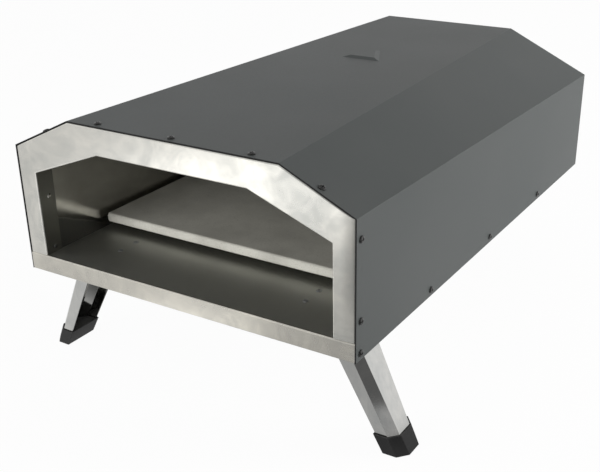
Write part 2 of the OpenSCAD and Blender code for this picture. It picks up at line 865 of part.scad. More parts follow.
// Rounded end of a leg around its pivot, grown by d like the prism below it
module leg_end(d, cavity = false) {
    intersection() {
        rotate([0, -leg_lean, 0]) linear_extrude(leg_depth) {
            polygon(leg_outline(leg_depth, leg_w, d, cavity ? -leg_depth : -leg_depth / 2 - d));
        }
        rotate([90, 0, 0]) cylinder(2 * leg_w, r = cavity ? leg_depth : leg_depth / 2, center = true);
    }
}

// A leg: a folded channel with a rounded end at its pivot, cut level above the cap's floor
module leg() {
    difference() {
        union() {
            leg_prism(0);
            leg_end(0);
        }
        leg_prism(-leg_t, true);
        leg_end(-leg_t, true);
        rotate([90, 0, 0]) cylinder(2 * leg_w, r = pivot_dia / 2 + running_gap, center = true);
        block([-reach, -reach, -reach], [reach, reach, cap_floor - ground_gap - pivot_z]);
    }
}

// Plastic cap that closes a leg's end, level at its foot and its rim
module foot_cap() {
    foot_z = -ground_gap - pivot_z;
    difference() {
        intersection() {
            leg_prism(cap_t);
            block([-reach, -reach, foot_z], [reach, reach, foot_z + cap_h]);
        }
        intersection() {
            difference() {
                leg_prism(cap_fit);
                leg_prism(-leg_t - cap_fit, true);
            }
            block([-reach, -reach, foot_z + cap_floor - cap_fit], [reach, reach, reach]);
        }
    }
}

// Side view of a bracket's cheek, round under the pivot
module cheek_outline(top) {
    bevel = 6;
    polygon([[-bracket_in, top], [-bracket_in, bevel - cheek_drop], [bevel - bracket_in, -cheek_drop],
             [0, -cheek_drop], [bracket_out, 0], [bracket_out, top]]);
    circle(cheek_r);
}

// Folded bracket under the floor: web, two cheeks and the stop that an open leg leans on
module bracket() {
    top = web_z - pivot_z + bracket_t;
    cheek_mid = cheek_y + bracket_t / 2;
    difference() {
        union() {
            block([-bracket_in, -cheek_y - bracket_t, top - bracket_t],
                  [bracket_out, cheek_y + bracket_t, top]);
            for (side = [-1, 1]) {
                translate([0, side * cheek_mid + bracket_t / 2, 0])
                    rotate([90, 0, 0]) linear_extrude(bracket_t) cheek_outline(top);
            }
            // The stop reaches half way into the cheeks and the web
            intersection() {
                rotate([0, -leg_lean, 0]) {
                    block([leg_depth / 2 + slide_gap, -cheek_mid, -leg_depth / 4],
                          [leg_depth / 2 + slide_gap + bracket_t, cheek_mid, leg_depth]);
                }
                block([-reach, -reach, -reach], [reach, reach, top - bracket_t / 2]);
            }
        }
        rotate([90, 0, 0]) cylinder(reach, r = pivot_dia / 2 + hold_gap, center = true);
        at_bracket_screws() screw_hole();
    }
}

// Pivot pin with its head and an upset tail outside the cheeks
module pivot_pin() {
    half = cheek_y + bracket_t + slide_gap / 2;
    rotate([90, 0, 0]) {
        cylinder(2 * half, r = pivot_dia / 2, center = true);
        translate([0, 0, half]) cylinder(pin_head_t, r = pin_head_r);
        translate([0, 0, -half - pin_head_t * 0.7]) cylinder(pin_head_t * 0.7, r = pin_head_r * 0.85);
    }
}

module leg_left() { color(steel) placed() at_left_leg() leg(); }
module leg_right() { color(steel) placed() at_right_leg() leg(); }
module leg_rear() { color(steel) placed() at_rear_leg() leg(); }
module foot_cap_left() { color("black") placed() at_left_leg() foot_cap(); }
module foot_cap_right() { color("black") placed() at_right_leg() foot_cap(); }
module foot_cap_rear() { color("black") placed() at_rear_leg() foot_cap(); }
module bracket_left() { color(steel) placed() at_left_leg() bracket(); }
module bracket_right() { color(steel) placed() at_right_leg() bracket(); }
module bracket_rear() { color(steel) placed() at_rear_leg() bracket(); }
module pivot_left() { color("gray") placed() at_left_leg() pivot_pin(); }
module pivot_right() { color("gray") placed() at_right_leg() pivot_pin(); }
module pivot_rear() { color("gray") placed() at_rear_leg() pivot_pin(); }

module top_screws() { color("black") placed() at_top_screws() screw(); }
module shoulder_screws() { color("black") placed() at_shoulder_screws() screw(); }
module flank_screws() { color("black") placed() at_flank_screws() screw(); }
module skirt_screws() { color("black") placed() at_skirt_screws() screw(); }
module rear_screws() { color("black") placed() at_rear_screws() screw(); }
module hinge_rivets() { color("gray") placed() at_hinge_rivets() rivet(panel_t + steel_t); }
module liner_rivets() { color("gray") placed() at_liner_rivets() rivet(2 * steel_t + 0.1); }
module floor_rivets() { color("gray") placed() at_floor_rivets() rivet(2 * steel_t); }
module bracket_screws() { color("gray") placed() at_all_bracket_screws() screw(nut_h + 3.5, low_head); }

module bracket_nuts() {
    top = -steel_t - bracket_t;
    color("gray") placed() at_all_bracket_screws() {
        difference() {
            translate([0, 0, top - nut_h]) cylinder(nut_h, r = nut_r, $fn = 6);
            translate([0, 0, top - nut_h - 1]) cylinder(nut_h + 2, r = screw_r + hold_gap);
        }
    }
}

outer_shell();
face_frame();
base_tray();
inner_liner();
insulation_blanket();
rear_panel();
baking_stone();
stone_rails();
flame_baffle();
drawer_guides();
fire_drawer();
fire_grate();
drawer_posts();
drawer_grip();
air_shutter();
shutter_knob();
fuel_hatch();
hatch_leaf();
hatch_pin();
hatch_posts();
hatch_grip();
leg_left();
leg_right();
leg_rear();
foot_cap_left();
foot_cap_right();
foot_cap_rear();
bracket_left();
bracket_right();
bracket_rear();
pivot_left();
pivot_right();
pivot_rear();
top_screws();
shoulder_screws();
flank_screws();
skirt_screws();
rear_screws();
hinge_rivets();
liner_rivets();
floor_rivets();
bracket_screws();
bracket_nuts();
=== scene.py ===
# %% [markdown]
# # A wood fired pizza oven
#
# This lesson dresses a finished CAD model of a small wood fired pizza oven for a portrait.
# The CAD model is loaded from model.glb: every sheet, screw and hinge is already where it
# belongs. What is left to do here is to give the pieces the soft bends, the finishes and the
# light of the real thing.

import math

import bmesh
import bpy
from mathutils import Matrix, Vector, noise


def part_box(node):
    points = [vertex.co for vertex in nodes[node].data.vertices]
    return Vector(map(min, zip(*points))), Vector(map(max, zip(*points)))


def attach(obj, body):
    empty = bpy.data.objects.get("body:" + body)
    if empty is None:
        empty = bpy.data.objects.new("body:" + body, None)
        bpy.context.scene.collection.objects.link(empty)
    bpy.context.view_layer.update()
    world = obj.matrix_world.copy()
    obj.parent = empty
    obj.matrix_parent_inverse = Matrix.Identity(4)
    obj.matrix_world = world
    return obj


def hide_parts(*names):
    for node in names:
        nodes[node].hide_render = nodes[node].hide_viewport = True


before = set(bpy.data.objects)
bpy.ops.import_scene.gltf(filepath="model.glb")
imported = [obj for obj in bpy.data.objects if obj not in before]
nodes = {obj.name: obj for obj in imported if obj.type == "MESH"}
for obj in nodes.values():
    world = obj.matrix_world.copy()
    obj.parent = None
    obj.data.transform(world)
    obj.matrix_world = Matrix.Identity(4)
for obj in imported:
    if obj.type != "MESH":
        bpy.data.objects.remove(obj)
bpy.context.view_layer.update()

# %% [markdown]
# ## The camera
#
# A camera can be aimed by hand, by a tracking constraint, or by building its axes from a few
# plain angles. The angles are chosen here, because they say in words where the camera
# stands: a little to the right of the mouth, and looking down. The camera also leans by half
# a degree, as a camera held by hand does, so the roll is part of its axes.

# %% Stand the camera in front of the mouth
AZIMUTH = math.radians(31.30)      # round from the mouth, towards the right flank
ELEVATION = math.radians(24.94)    # above the horizon
ROLL = math.radians(-0.516)
DISTANCE = 1.2504
AIM = Vector((-0.0261, -0.00465, 0.0400))
LENS = 58.27                       # on a sensor 36 mm wide
SHIFT = (-0.0407, 0.0393)


def put_in_scene(name, data):
    """A new object that carries some data, linked into the scene."""
    made = bpy.data.objects.new(name, data)
    bpy.context.scene.collection.objects.link(made)
    return made


def aim_camera():
    back = Vector((math.sin(AZIMUTH) * math.cos(ELEVATION),
                   -math.cos(AZIMUTH) * math.cos(ELEVATION), math.sin(ELEVATION)))
    level = Vector((0, 0, 1)).cross(back).normalized()
    upright = back.cross(level)
    right = math.cos(ROLL) * level + math.sin(ROLL) * upright
    up = math.cos(ROLL) * upright - math.sin(ROLL) * level
    data = bpy.data.cameras.new("portrait_camera")
    data.lens = LENS
    data.shift_x, data.shift_y = SHIFT
    camera = put_in_scene("portrait_camera", data)
    turned = Matrix((right, up, back)).transposed().to_4x4()
    camera.matrix_world = Matrix.Translation(AIM + back * DISTANCE) @ turned
    bpy.context.scene.camera = camera
    return camera


camera = aim_camera()
print("camera stands at", [round(v, 3) for v in camera.location])

# %% [markdown]
# ## The studio
#
# The oven stands on a wide pale floor in a pale room. A plain white sheet under strong lamps
# would also look white, but then the lamps would wash out the oven too. The Light Path node
# tells the rays apart instead. The camera sees a white room and a white floor, reflections
# see soft pools of light and dark, and the light that falls on the oven stays at a plain
# level. The floor still takes part in shading with a pale colour, so it keeps the oven's
# shadow.

# %% Make the pale room
ROOM_LIGHT = 0.40                  # strength of the light that the room sheds on the oven
ROOM_COLOUR = (1.0, 1.0, 1.0, 1)
WALL_GLOW = 0.86                   # how bright the walls look in a reflection
CEILING_GLOW = 0.30                # how bright the ceiling looks in a reflection
WALL_BAND = (0.05, 0.75)           # upward share of a direction: from wall to ceiling
DIM_CORNER = (0.64, -0.77, 0.0)    # the way to the unlit corner of the room
DIM_GLOW = 0.50
DIM_BAND = (0.3, 0.75)             # how close to that way: from the corner's rim to full dark
SOFT_PANEL = (-0.50, -0.45, 0.74)  # the way to the pale panel over the front left
PANEL_GLOW = 0.7
PANEL_BAND = (0.88, 0.96)          # how close to that way: from the panel's rim to full glow


def add(tree, kind, inputs=None, **settings):
    """A node with some of its settings and inputs; a socket given as an input is linked."""
    made = tree.nodes.new(kind)
    for key, value in settings.items():
        setattr(made, key, value)
    for key, value in (inputs or {}).items():
        if isinstance(value, bpy.types.NodeSocket):
            tree.links.new(value, made.inputs[key])
        else:
            made.inputs[key].default_value = value
    return made


def sums(tree, operation, a, b=0.0, c=0.0, clamp=False):
    """A Math node's result for two or three values or sockets."""
    values = {0: a, 1: b, 2: c}
    return add(tree, "ShaderNodeMath", values, operation=operation, use_clamp=clamp).outputs[0]


def spread(tree, value, low, high, out_low=0.0, out_high=1.0, kind="LINEAR"):
    """Stretches the part of a value between low and high over a new range."""
    return add(tree, "ShaderNodeMapRange",
               {"Value": value, "From Min": low, "From Max": high,
                "To Min": out_low, "To Max": out_high}, interpolation_type=kind,
               clamp=True).outputs[0]


def shown_directly(tree):
    """One where a ray comes from the camera, a reflection or glass, and zero elsewhere."""
    path = add(tree, "ShaderNodeLightPath").outputs
    seen = sums(tree, "MAXIMUM", path["Is Camera Ray"], path["Is Glossy Ray"])
    return sums(tree, "MAXIMUM", seen, path["Is Transmission Ray"])


def closeness(tree, towards, way):
    """How closely a direction follows a chosen way; one where both are the same."""
    return add(tree, "ShaderNodeVectorMath", {0: towards, 1: way},
               operation="DOT_PRODUCT").outputs["Value"]


def make_room():
    world = bpy.data.worlds.new("pale_room")
    world.use_nodes = True
    tree = world.node_tree
    tree.nodes.clear()
    towards = add(tree, "ShaderNodeTexCoord").outputs["Generated"]
    height = add(tree, "ShaderNodeSeparateXYZ", {0: towards}).outputs["Z"]
    glow = spread(tree, height, *WALL_BAND, WALL_GLOW, CEILING_GLOW)
    dim = spread(tree, closeness(tree, towards, DIM_CORNER), *DIM_BAND, 1.0, DIM_GLOW)
    glow = sums(tree, "MULTIPLY", glow, dim)
    panel = spread(tree, closeness(tree, towards, SOFT_PANEL), *PANEL_BAND, 0.0, PANEL_GLOW)
    glow = sums(tree, "MAXIMUM", glow, panel)
    path = add(tree, "ShaderNodeLightPath").outputs
    strength = sums(tree, "MAXIMUM", glow, path["Is Camera Ray"])
    shed = add(tree, "ShaderNodeBackground", {"Color": ROOM_COLOUR, "Strength": ROOM_LIGHT})
    shown = add(tree, "ShaderNodeBackground", {"Color": ROOM_COLOUR, "Strength": strength})
    mix = add(tree, "ShaderNodeMixShader",
              {0: shown_directly(tree), 1: shed.outputs[0], 2: shown.outputs[0]})
    add(tree, "ShaderNodeOutputWorld", {"Surface": mix.outputs[0]})
    bpy.context.scene.world = world


make_room()
bpy.context.scene.view_settings.view_transform = "Standard"
print("room sheds light at", ROOM_LIGHT)

# %% Lay the pale floor
FLOOR_HALF = 6.0
FLOOR_COLOUR = (0.86, 0.86, 0.85, 1)
FLOOR_WHITE = 0.96                 # share of the floor that shows as plain white
FRONT_GLOW, REAR_GLOW = 0.60, 0.80
GLOW_BAND = (-0.40, 0.10)          # from the front's glow to the rear's, along y
POOLS = [((-0.34, -0.94, 0.0), 0.57, 1.58),    # bright parts of the floor: middle, reach, glow
         ((-0.12, -0.42, 0.0), 0.26, 1.02)]
POOL_CORE = 0.04                   # a pool keeps its full glow this far from its middle
SIDE_GLOW = 0.72                   # how much of the glow is left at the right front
SIDE_BAND = (-0.13, 0.07)          # where it falls away, along x
SIDE_DEPTH = (-0.28, 0.0)          # and where it comes back, along y
DARK_PATCHES = [((0.70, -0.50, 0.0), 0.41, 0.44, 0.20),   # middle, its edge, glow inside
                ((0.18, -0.80, 0.0), 0.08, 0.25, 0.16)]
OVEN_HALF = (0.20, 0.30)           # half sizes of the shaded ground under the oven
UNDER_GLOW = 0.12
SHADE_BAND = (-0.04, 0.02)         # the shade's soft rim, across its outline


def distance_from(tree, place, middle):
    return add(tree, "ShaderNodeVectorMath", {0: place, 1: middle},
               operation="DISTANCE").outputs["Value"]


def shade_under(tree, across, along):
    """One away from the oven, and less on the ground under it."""
    outside = sums(tree, "MAXIMUM",
                   sums(tree, "SUBTRACT", sums(tree, "ABSOLUTE", across), OVEN_HALF[0]),
                   sums(tree, "SUBTRACT", sums(tree, "ABSOLUTE", along), OVEN_HALF[1]))
    return spread(tree, outside, *SHADE_BAND, UNDER_GLOW, 1.0, kind="SMOOTHSTEP")


def floor_glow(tree):
    """How bright the floor looks: plain white to the camera, soft pools in reflections."""
    place = add(tree, "ShaderNodeTexCoord").outputs["Object"]
    parts = add(tree, "ShaderNodeSeparateXYZ", {0: place}).outputs
    glow = spread(tree, parts["Y"], *GLOW_BAND, FRONT_GLOW, REAR_GLOW)
    for middle, reach, bright in POOLS:
        pool = spread(tree, distance_from(tree, place, middle), POOL_CORE, reach, bright, 0.0,
                      kind="SMOOTHSTEP")
        glow = sums(tree, "MAXIMUM", glow, pool)
    front = spread(tree, parts["Y"], *SIDE_DEPTH, 1.0, 0.0)
    side = spread(tree, parts["X"], *SIDE_BAND, 0.0, 1.0 - SIDE_GLOW, kind="SMOOTHSTEP")
    kept = sums(tree, "SUBTRACT", 1.0, sums(tree, "MULTIPLY", front, side))
    glow = sums(tree, "MULTIPLY", glow, kept)
    for middle, inner, outer, dark in DARK_PATCHES:
        patch = spread(tree, distance_from(tree, place, middle), inner, outer, dark, 1.0)
        glow = sums(tree, "MULTIPLY", glow, patch)
    glow = sums(tree, "MULTIPLY", glow, shade_under(tree, parts["X"], parts["Y"]))
    camera_ray = add(tree, "ShaderNodeLightPath").outputs["Is Camera Ray"]
    return spread(tree, camera_ray, 0.0, 1.0, glow, 1.0)


def lay_floor():
    mesh = bpy.data.meshes.new("studio_floor")
    h = FLOOR_HALF
    mesh.from_pydata([(-h, -h, 0), (h, -h, 0), (h, h, 0), (-h, h, 0)], [], [(0, 1, 2, 3)])
    floor = put_in_scene("studio_floor", mesh)
    paper = bpy.data.materials.new("studio_paper")
    paper.use_nodes = True
    tree = paper.node_tree
    matt = tree.nodes["Principled BSDF"]
    matt.inputs["Base Color"].default_value = FLOOR_COLOUR
    matt.inputs["Roughness"].default_value = 0.9
    white = add(tree, "ShaderNodeEmission", {"Strength": floor_glow(tree)})
    share = sums(tree, "MULTIPLY", shown_directly(tree), FLOOR_WHITE)
    mix = add(tree, "ShaderNodeMixShader", {0: share, 1: matt.outputs[0], 2: white.outputs[0]})
    tree.links.new(mix.outputs[0], tree.nodes["Material Output"].inputs["Surface"])
    floor.data.materials.append(paper)


lay_floor()
print("floor is", 2 * FLOOR_HALF, "m across")

# %% [markdown]
# Polished bevels need something dark to reflect, or they vanish between two bright faces. A
# small black card hangs beside the right leg, as it would in a studio. Only reflections see
# it: it throws no shadow and stays out of the picture. Its lower edge is level, and below it
# the leg's bevel turns bright again.

# %% Hang the black card
CARD_EDGE = Vector((0.474, -0.401, 0.054))   # middle of its lower edge
CARD_WAY = Vector((0.404, 0.915, 0.0))       # the way its lower edge runs
CARD_SIZE = (0.24, 0.157)
CARD_GREY = (0.12, 0.12, 0.12, 1)


def hang_card():
    across = CARD_WAY * CARD_SIZE[0] / 2
    up = Vector((0, 0, CARD_SIZE[1]))
    mesh = bpy.data.meshes.new("black_card")
    corners = [CARD_EDGE - across, CARD_EDGE + across, CARD_EDGE + across + up,
               CARD_EDGE - across + up]
    mesh.from_pydata(corners, [], [(0, 1, 2, 3)])
    card = put_in_scene("black_card", mesh)
    felt = bpy.data.materials.new("black_felt")
    felt.use_nodes = True
    tree = felt.node_tree
    shown = add(tree, "ShaderNodeEmission", {"Color": CARD_GREY, "Strength": 1.0})
    tree.links.new(shown.outputs[0], tree.nodes["Material Output"].inputs["Surface"])
    mesh.materials.append(felt)
    card.visible_camera = card.visible_diffuse = card.visible_shadow = False
    card.visible_transmission = card.visible_volume_scatter = False


hang_card()
print("card hangs", round(CARD_EDGE.z * 1000), "mm above the ground")

# %% [markdown]
# Three large soft lamps stand round the oven. Area lamps are used because their size sets
# how soft a shadow is. The one at the rear right lights the long flank, the one in front
# fills the mouth, and a weak one high up behind helps the top. They all stay out of
# reflections, or every bend in the steel would carry their images as white lines.

# %% Hang the soft lamps
LAMPS = [("flank_lamp", (2.2, 1.3, 0.9), (1.6, 1.2), 57),     # name, place, size, watts
         ("mouth_lamp", (-0.6, -2.2, 0.5), (1.6, 1.0), 36),
         ("top_lamp", (0.3, 1.2, 2.2), (1.8, 1.8), 3)]


def hang_lamp(name, place, size, power):
    """An area lamp that lights the oven and stays out of reflections."""
    data = bpy.data.lights.new(name, "AREA")
    data.shape = "RECTANGLE"
    data.size, data.size_y = size
    data.energy = power
    lamp = put_in_scene(name, data)
    lamp.location = place
    lamp.rotation_euler = (AIM - Vector(place)).to_track_quat("-Z", "Y").to_euler()
    lamp.visible_glossy = False
    print(name, "gives", power, "W over", size)


for lamp in LAMPS:
    hang_lamp(*lamp)

# %% [markdown]
# ## Shared effects
#
# Several finishes need the same things: cloudy rubbed steel, worn folds, powder paint grain
# and a little dust. Each is built once as a node group with named sockets, and each material
# places it with its own values. The groups put out masks and heights only, and the shader
# itself stays in the material. Blender's noise rarely leaves the range from 0.3 to 0.7, so
# most masks stretch a part of that range.

# %% Helpers for building node trees
NUMBER, VECTOR = "NodeSocketFloat", "NodeSocketVector"
groups = {}


def start_group(name, inputs, outputs):
    """An empty group, kept under its name; inputs are given as {name: (type, default)}."""
    tree = groups[name] = bpy.data.node_groups.new(name, "ShaderNodeTree")
    for label, (kind, default) in inputs.items():
        socket = tree.interface.new_socket(name=label, in_out="INPUT", socket_type=kind)
        socket.default_value = default
    for label in outputs:
        tree.interface.new_socket(name=label, in_out="OUTPUT", socket_type="NodeSocketFloat")
    print("group", name, "gives", ", ".join(outputs))
    return tree, tree.nodes.new("NodeGroupInput"), tree.nodes.new("NodeGroupOutput")


def blend_colours(tree, factor, a, b, mode="MIX"):
    """A Mix node for colours: it keeps them on sockets 6 and 7, and its result on 2."""
    return add(tree, "ShaderNodeMix", {0: factor, 6: a, 7: b}, data_type="RGBA",
               blend_type=mode, clamp_factor=True).outputs[2]


# %% [markdown]
# **Rubbed steel.** Stainless sheet is brushed in one direction, which leaves fine streaks,
# and handling leaves cloudy patches on top of them. Streaks are noise whose space is
# squeezed across the brush and stretched along it. The patches are three slower noises, all
# a little warped: broad clouds, smaller blotches, and smears that are drawn out along the
# brush, as on a wiped surface.

# %% Rubbed steel group
SMEAR_SLOWER = (0.35, 0.35, 0.05)  # the smears' share of the streaks' fineness
BLOTCH_FINER = 3.2                 # how much finer the blotches are than the clouds


def make_rubbed_steel():
    tree, given, out = start_group(
        "rubbed_steel",
        {"Brush": (VECTOR, (30.0, 30.0, 900.0)), "Cloud Scale": (NUMBER, 13.0)},
        ["Cloud", "Blotch", "Smear", "Streak"])
    place = add(tree, "ShaderNodeTexCoord").outputs["Object"]
    brushed = add(tree, "ShaderNodeVectorMath", {0: place, 1: given.outputs["Brush"]},
                  operation="MULTIPLY").outputs[0]
    streak = add(tree, "ShaderNodeTexNoise",
                 {"Vector": brushed, "Scale": 1.0, "Detail": 3.0, "Roughness": 0.65})
    cloud = add(tree, "ShaderNodeTexNoise",
                {"Vector": place, "Scale": given.outputs["Cloud Scale"], "Detail": 5.0,
                 "Roughness": 0.62, "Distortion": 0.9})
    wiped = add(tree, "ShaderNodeVectorMath", {0: brushed, 1: SMEAR_SLOWER},
                operation="MULTIPLY").outputs[0]
    smear = add(tree, "ShaderNodeTexNoise",
                {"Vector": wiped, "Scale": 1.0, "Detail": 4.0, "Roughness": 0.5,
                 "Distortion": 0.4})
    finer = sums(tree, "MULTIPLY", given.outputs["Cloud Scale"], BLOTCH_FINER)
    blotch = add(tree, "ShaderNodeTexNoise",
                 {"Vector": place, "Scale": finer, "Detail": 1.5, "Roughness": 0.4,
                  "Distortion": 1.8})
    tree.links.new(spread(tree, cloud.outputs[0], 0.36, 0.64), out.inputs["Cloud"])
    tree.links.new(spread(tree, blotch.outputs[0], 0.34, 0.68), out.inputs["Blotch"])
    tree.links.new(spread(tree, smear.outputs[0], 0.3, 0.7), out.inputs["Smear"])
    tree.links.new(streak.outputs[0], out.inputs["Streak"])


make_rubbed_steel()

# %% [markdown]
# ** Fold wear and painted light.** Paint wears thin on a fold. Some finishes also use this
# mask to paint a glint on a cut edge or a darker shade on a steel bend. The Bevel node gives
# the normal as if the edge were rounder than it is. Where that differs from the true normal,
# the surface is close to an edge. The dot product of the two is one on a flat face and less
# near an edge, and noise breaks the mask up.

# %% Fold wear and painted light group
EDGE_BAND = (0.995, 0.9)           # that product where the edge mask begins, and where it is full


def make_fold_wear_and_light():
    tree, given, out = start_group(
        "fold_wear_and_light", {"Reach": (NUMBER, 0.0015), "Breakup": (NUMBER, 60.0)}, ["Wear"])
    rounder = add(tree, "ShaderNodeBevel", {"Radius": given.outputs["Reach"]}, samples=4)
    normal = add(tree, "ShaderNodeNewGeometry").outputs["Normal"]
    edge = spread(tree, closeness(tree, rounder.outputs[0], normal), *EDGE_BAND)
    place = add(tree, "ShaderNodeTexCoord").outputs["Object"]
    patchy = add(tree, "ShaderNodeTexNoise",
                 {"Vector": place, "Scale": given.outputs["Breakup"], "Detail": 3.0})
    patches = spread(tree, patchy.outputs[0], 0.35, 0.6)
    tree.links.new(sums(tree, "MULTIPLY", edge, patches), out.inputs["Wear"])


make_fold_wear_and_light()

# %% [markdown]
# **Powder grain.** Heat resistant paint dries with a very fine orange peel. Two noises give
# its height, one five times as wide as the other. On the casing the finer one is about a
# millimetre wide. Moulded plastic and blackened steel use it too, with a finer grain.

# %% Powder grain group
WIDE_SHARE, WIDE_HEIGHT = 0.2, 0.6  # the wide noise: its share of the scale, and its height


def make_powder_grain():
    tree, given, out = start_group("powder_grain", {"Grain Scale": (NUMBER, 900.0)},
                                   ["Height", "Speckle"])
    place = add(tree, "ShaderNodeTexCoord").outputs["Object"]
    fine = add(tree, "ShaderNodeTexNoise",
               {"Vector": place, "Scale": given.outputs["Grain Scale"], "Detail": 2.0})
    wide_scale = sums(tree, "MULTIPLY", given.outputs["Grain Scale"], WIDE_SHARE)
    wide = add(tree, "ShaderNodeTexNoise", {"Vector": place, "Scale": wide_scale, "Detail": 2.0})
    height = sums(tree, "MULTIPLY_ADD", wide.outputs[0], WIDE_HEIGHT, fine.outputs[0])
    tree.links.new(height, out.inputs["Height"])
    tree.links.new(spread(tree, fine.outputs[0], 0.3, 0.7), out.inputs["Speckle"])


make_powder_grain()

# %% [markdown]
# **Settled dust.** Dust lies on what faces up, and thinly. The upward part of the normal
# gives where, and a soft noise gives how much.

# %% Settled dust group
DUST_BAND = (0.55, 1.0)            # upward part of the normal: from no dust to all of it


def make_settled_dust():
    tree, given, out = start_group("settled_dust", {"Amount": (NUMBER, 0.3)}, ["Dust"])
    normal = add(tree, "ShaderNodeNewGeometry").outputs["Normal"]
    upward = add(tree, "ShaderNodeSeparateXYZ", {0: normal}).outputs["Z"]
    place = add(tree, "ShaderNodeTexCoord").outputs["Object"]
    drift = add(tree, "ShaderNodeTexNoise", {"Vector": place, "Scale": 9.0, "Detail": 6.0})
    lying = sums(tree, "MULTIPLY", spread(tree, upward, *DUST_BAND),
                 spread(tree, drift.outputs[0], 0.35, 0.75))
    tree.links.new(sums(tree, "MULTIPLY", lying, given.outputs["Amount"]), out.inputs["Dust"])


make_settled_dust()

# %% [markdown]
# ** Painted shade film.** A dark film paints shade inside the mouth and on the steel's folds.
# It starts a little behind the face and grows inwards. On the liner it lies only below a
# border that falls towards the rear, where it paints the stone's dark reflection and the shade
# under it, and the steel above stays clear. Noise breaks the border up, so it never ends on a
# ruled line.

# %% Painted shade film group
RAGGED = 0.006                     # how far the noise moves the film's border, in metres


def make_painted_shade_film():
    tree, given, out = start_group(
        "painted_shade_film", {"Front": (NUMBER, -0.32), "Depth": (NUMBER, 0.01),
                       "Top": (NUMBER, 1.0), "Fall": (NUMBER, 0.0), "Fade": (NUMBER, 0.02)},
        ["Film"])
    place = add(tree, "ShaderNodeTexCoord").outputs["Object"]
    parts = add(tree, "ShaderNodeSeparateXYZ", {0: place}).outputs
    ragged = add(tree, "ShaderNodeTexNoise", {"Vector": place, "Scale": 35.0, "Detail": 4.0})
    height = sums(tree, "MULTIPLY_ADD", ragged.outputs[0], RAGGED, parts["Z"])
    behind = sums(tree, "SUBTRACT", parts["Y"], given.outputs["Front"])
    inwards = sums(tree, "DIVIDE", behind, given.outputs["Depth"], clamp=True)
    height = sums(tree, "MULTIPLY_ADD", given.outputs["Fall"], behind, height)
    below = sums(tree, "DIVIDE", sums(tree, "SUBTRACT", given.outputs["Top"], height),
                 given.outputs["Fade"], clamp=True)
    tree.links.new(sums(tree, "MULTIPLY", inwards, below), out.inputs["Film"])


make_painted_shade_film()

# %% [markdown]
# ## Finishes
#
# Every material starts the same way: a Principled BSDF, whose plain numbers are set on its
# own sockets, and a Bump node for its small relief. The helper below makes that start.

# %% Start of every finish
finishes = {}


def start_finish(name, metallic, roughness, bump_distance, bump_strength):
    """A new material, kept under its name, with a Bump node that feeds its shader."""
    finish = finishes[name] = bpy.data.materials.new(name)
    finish.use_nodes = True
    tree = finish.node_tree
    shader = tree.nodes["Principled BSDF"]
    shader.inputs["Metallic"].default_value = metallic
    shader.inputs["Roughness"].default_value = roughness
    bump = add(tree, "ShaderNodeBump", {"Distance": bump_distance, "Strength": bump_strength})
    tree.links.new(bump.outputs[0], shader.inputs["Normal"])
    print("finish", name)
    return tree, shader, bump


def use_group(tree, name, **values):
    placed = tree.nodes.new("ShaderNodeGroup")
    placed.node_tree = groups[name]
    for label, value in values.items():
        placed.inputs[label.replace("_", " ")].default_value = value
    return placed.outputs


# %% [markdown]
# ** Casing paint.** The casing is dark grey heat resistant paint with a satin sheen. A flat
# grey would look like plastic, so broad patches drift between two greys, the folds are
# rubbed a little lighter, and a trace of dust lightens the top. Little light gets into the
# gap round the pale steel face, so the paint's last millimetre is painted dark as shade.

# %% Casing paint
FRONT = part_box("face_frame")[0].y  # the plane of the oven's face
EDGE_SHADE_DEPTH = 0.0009                 # how far the painted shade line reaches back from it
FULL_SHADE_SHARE = 0.4                # the share of that which is fully dark
DARK_GREY, PALE_GREY = (0.0655, 0.0735, 0.0725, 1), (0.077, 0.0835, 0.082, 1)
SPECKS, SPECK_SHARE = (0.11, 0.115, 0.112, 1), 0.10
RUBBED, RUBBED_SHARE = (0.30, 0.31, 0.30, 1), 0.22
DUST = (0.30, 0.29, 0.27, 1)
PAINTED_EDGE_SHADE = (0.016, 0.016, 0.016, 1)
SATIN, SPECK_ROUGHER, EDGE_ROUGHER = 0.40, 0.07, 0.4   # roughness, and what is added to it


def make_casing_paint():
    tree, shader, bump = start_finish("casing_paint", 0.0, 0.42, 0.00012, 0.3)
    shader.inputs["Specular IOR Level"].default_value = 0.3
    grain = use_group(tree, "powder_grain", Grain_Scale=1100.0)
    edge_mask = use_group(tree, "fold_wear_and_light", Reach=0.0010, Breakup=45.0)
    dust = use_group(tree, "settled_dust", Amount=0.05)
    place = add(tree, "ShaderNodeTexCoord").outputs["Object"]
    drift = add(tree, "ShaderNodeTexNoise", {"Vector": place, "Scale": 3.2, "Detail": 3.0})
    base = blend_colours(tree, spread(tree, drift.outputs[0], 0.35, 0.65), DARK_GREY, PALE_GREY)
    specks = sums(tree, "MULTIPLY", grain["Speckle"], SPECK_SHARE)
    base = blend_colours(tree, specks, base, SPECKS)
    base = blend_colours(tree, dust["Dust"], base, DUST)
    rubbed = sums(tree, "MULTIPLY", edge_mask["Wear"], RUBBED_SHARE)
    base = blend_colours(tree, rubbed, base, RUBBED)
    along = add(tree, "ShaderNodeSeparateXYZ", {0: place}).outputs["Y"]
    # Painted shade: the paint turns black within a millimetre of the face, where the gap holds
    # shade.
    edge = spread(tree, along, FRONT + EDGE_SHADE_DEPTH, FRONT + FULL_SHADE_SHARE * EDGE_SHADE_DEPTH)
    base = blend_colours(tree, edge, base, PAINTED_EDGE_SHADE)
    tree.links.new(base, shader.inputs["Base Color"])
    rough = sums(tree, "MULTIPLY_ADD", grain["Speckle"], SPECK_ROUGHER, SATIN)
    rough = sums(tree, "MULTIPLY_ADD", edge, EDGE_ROUGHER, rough)
    tree.links.new(sums(tree, "ADD", rough, dust["Dust"]), shader.inputs["Roughness"])
    tree.links.new(grain["Height"], bump.inputs["Height"])


make_casing_paint()

# %% [markdown]
# **Steel finishes.** The mouth, the sill and the legs are brushed stainless, the liner is
# smoother and darker, the small brackets and pins are zinc plated, and the grate is burnt
# dark. One function makes them all from rubbed steel, each with its own two colours, brush
# direction and roughness. Where the patches are pale the steel is also smoother, as wiped
# steel is.

